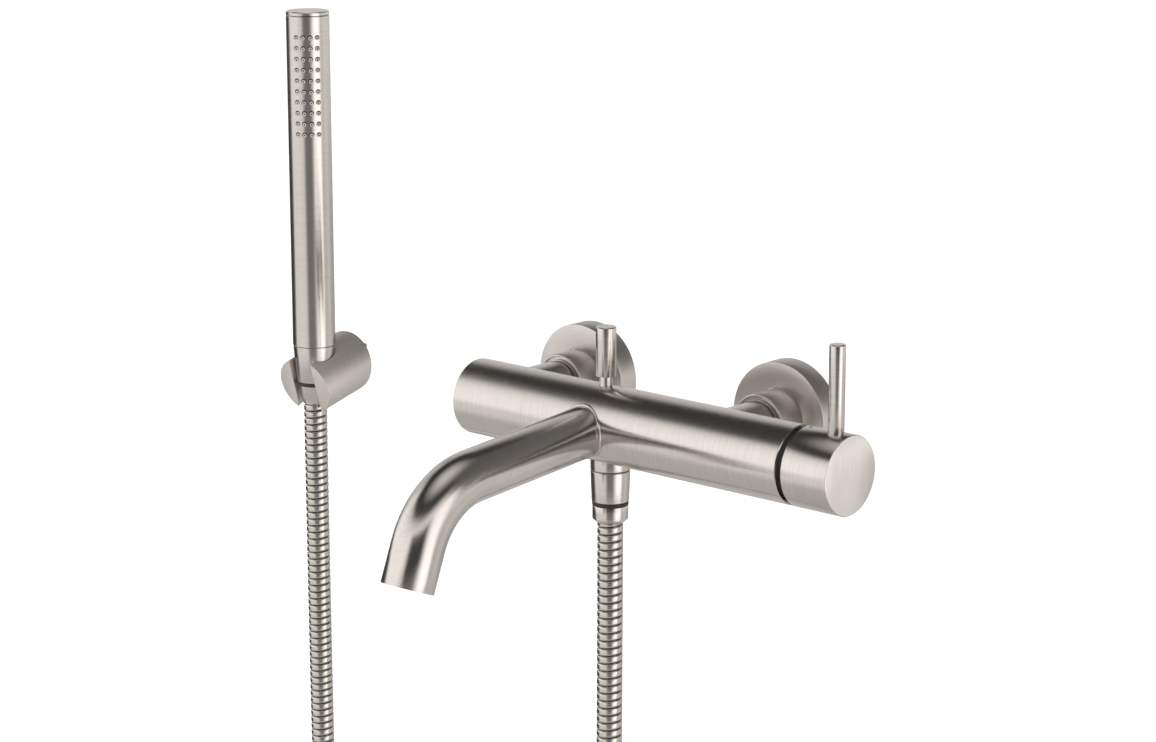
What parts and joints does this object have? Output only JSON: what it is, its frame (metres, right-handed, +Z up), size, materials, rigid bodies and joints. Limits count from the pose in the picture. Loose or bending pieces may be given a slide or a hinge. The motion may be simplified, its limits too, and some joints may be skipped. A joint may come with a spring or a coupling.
{
  "type": "wall mounted bath faucet",
  "caption": "Bar-shaped single-lever bath mixer on two wall unions, with bent spout, pull-up diverter, metal hose and stick hand shower in a wall holder.",
  "frame": {"origin": "on the wall's face, midway between the two threaded studs that screw into the wall's pipes", "axes": "+Z up, +X along the bar towards the lever, +Y into the wall along the studs"},
  "size_m": [0.4925, 0.278, 0.8212],
  "materials": {
    "black_plastic": "matt",
    "black_rubber": "matt",
    "blue_mark": "printed mark",
    "brass": "machined",
    "brushed_face": "satin, fine straight brushed lines on the end face",
    "ceramic": "polished ceramic",
    "grey_plastic": "matt",
    "grey_silicone": "matt",
    "hose_steel": "satin, interlocked coil",
    "satin_steel": "satin, fine turned lines",
    "zinc_steel": "plain"
  },
  "bodies": {
    "root": {"aerator_housing": "satin_steel", "aerator_insert": "grey_plastic", "body_end_plug": "satin_steel", "cartridge_clamp_ring": "brass", "cartridge_housing": "black_plastic", "cartridge_seal": "black_rubber", "ceramic_disc_fixed": "ceramic", "check_valve_left": "black_plastic", "check_valve_right": "black_plastic", "diverter_bonnet": "brass", "diverter_spring": "zinc_steel", "gap_collar": "black_plastic", "holder_body": "satin_steel", "holder_screws": "zinc_steel", "holder_set_screw": "zinc_steel", "holder_wall_plate": "zinc_steel", "hose_ferrule": "satin_steel", "hose_nut": "satin_steel", "hose_ring_seal": "black_rubber", "hose_washer": "black_rubber", "inlet_tail_left": "brass", "inlet_tail_right": "brass", "mixer_body": "satin_steel", "outlet_collar": "satin_steel", "rosette_gasket_left": "black_rubber", "rosette_gasket_right": "black_rubber", "rosette_left": "satin_steel", "rosette_right": "satin_steel", "s_union_left": "brass", "s_union_right": "brass", "shower_hose": "hose_steel", "spout_tube": "satin_steel", "union_nut_left": "satin_steel", "union_nut_right": "satin_steel", "union_washer_left": "black_rubber", "union_washer_right": "black_rubber"},
    "swivel": {"cartridge_carrier": "grey_plastic", "cartridge_pivot_pin": "zinc_steel"},
    "handle": {"cartridge_stem": "zinc_steel", "handle_cap": "brushed_face", "lever_pin": "satin_steel", "handle_set_screw": "zinc_steel", "temperature_mark": "blue_mark"},
    "disc": {"ceramic_disc_moving": "ceramic"},
    "diverter": {"diverter_knob": "satin_steel", "diverter_stem": "satin_steel", "diverter_valve": "black_rubber"},
    "hand_shower": {"hand_shower_tube": "satin_steel", "hand_shower_cap": "satin_steel", "nozzle_sleeve": "grey_silicone", "hand_shower_core": "grey_plastic", "hand_shower_foot": "satin_steel", "foot_ring_seal": "black_rubber", "foot_washer": "black_rubber", "hose_cone": "satin_steel"}
  },
  "joints": [
    {"name": "temperature_turn", "type": "hinge", "parent": "root", "child": "swivel", "pos_m": [0.1504, -0.088, 0.012], "axis": [1, 0, 0], "range_deg": [-50, 50]},
    {"name": "flow_tilt", "type": "hinge", "parent": "swivel", "child": "handle", "pos_m": [0.1504, -0.088, 0.012], "axis": [0, 1, 0], "range_deg": [0, 8]},
    {"name": "disc_shift", "type": "slide", "parent": "swivel", "child": "disc", "axis": [0, 0, 1], "range_m": [0, 0.0045]},
    {"name": "diverter_lift", "type": "slide", "parent": "root", "child": "diverter", "axis": [0, 0, 1], "range_m": [0, 0.008], "stiffness_N_per_m": 150, "springref_m": -0.004, "deforming": ["diverter_spring"]},
    {"name": "hand_shower_lift", "type": "slide", "parent": "root", "child": "hand_shower", "axis": [0, 0, 1], "range_m": [0, 0.05]}
  ],
  "couplings": [
    {"joint": "disc_shift", "follows": "flow_tilt", "m_per_rad": 0.031}
  ]
}
